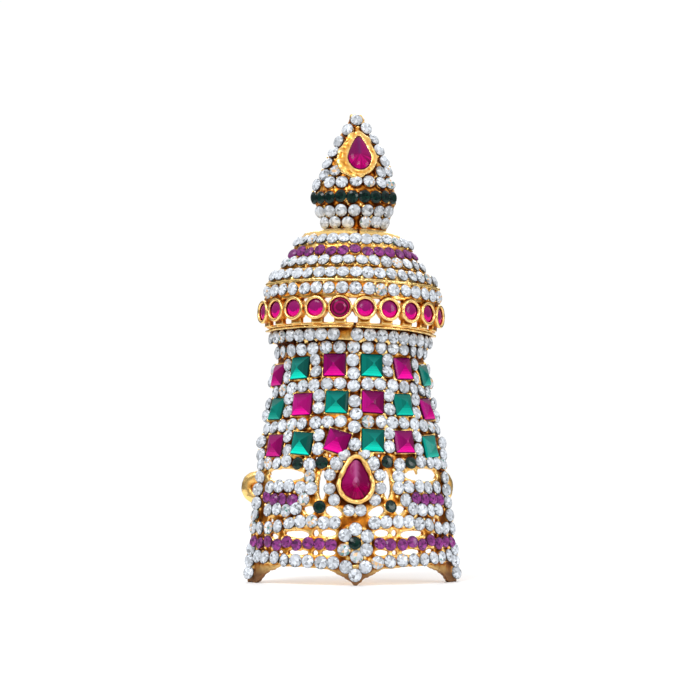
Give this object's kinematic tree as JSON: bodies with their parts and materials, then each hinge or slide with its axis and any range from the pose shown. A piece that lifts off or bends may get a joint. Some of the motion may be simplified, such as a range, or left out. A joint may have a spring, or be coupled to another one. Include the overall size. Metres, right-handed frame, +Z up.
{
  "type": "deity half crown",
  "caption": "Small gilded half crown for a temple figure: a pierced flaring skirt, a stepped dome and a bud finial, open at the back and set with coloured glass.",
  "frame": {"origin": "on the axis of the round forms, at the height of the surface that the crown stands on", "axes": "+Z up to the tip, the jewelled front faces -Y, +X to the right of someone who looks at the front"},
  "size_m": [0.0401, 0.0221, 0.0889],
  "materials": {
    "gold": "polished gold plating on cast metal, darker in the recesses",
    "clear_glass": "faceted clear glass with a foil back",
    "purple_glass": "faceted purple glass with a foil back",
    "dark_green_glass": "faceted very dark green glass",
    "magenta_glass": "pyramid cut magenta glass with a foil back",
    "green_glass": "pyramid cut emerald glass with a foil back",
    "ruby_glass": "round cut ruby glass with a foil back"
  },
  "bodies": {
    "root": {"body_casting": "gold", "ruby_gallery": "gold", "dome_casting": "gold", "finial_casting": "gold", "tie_loop_left": "gold", "tie_loop_right": "gold", "pear_stone": "magenta_glass", "finial_pear_stone": "magenta_glass", "finial_whites": "clear_glass", "finial_greens": "dark_green_glass", "dome_whites": "clear_glass", "dome_purples": "purple_glass", "ring_whites": "clear_glass", "wall_whites": "clear_glass", "skirt_purples": "purple_glass", "skirt_greens": "dark_green_glass", "square_stone_1_1": "magenta_glass", "square_stone_1_2": "green_glass", "square_stone_1_3": "magenta_glass", "square_stone_1_4": "green_glass", "square_stone_1_5": "magenta_glass", "square_stone_1_6": "green_glass", "square_stone_2_1": "green_glass", "square_stone_2_2": "magenta_glass", "square_stone_2_3": "green_glass", "square_stone_2_4": "magenta_glass", "square_stone_2_5": "green_glass", "square_stone_2_6": "magenta_glass", "square_stone_3_1": "magenta_glass", "square_stone_3_2": "green_glass", "square_stone_3_3": "magenta_glass", "square_stone_3_4": "green_glass", "square_stone_3_5": "magenta_glass", "square_stone_3_6": "green_glass", "ruby_1": "ruby_glass", "ruby_2": "ruby_glass", "ruby_3": "ruby_glass", "ruby_4": "ruby_glass", "ruby_5": "ruby_glass", "ruby_6": "ruby_glass", "ruby_7": "ruby_glass", "ruby_8": "ruby_glass", "ruby_9": "ruby_glass", "ruby_10": "ruby_glass"}
  },
  "joints": []
}
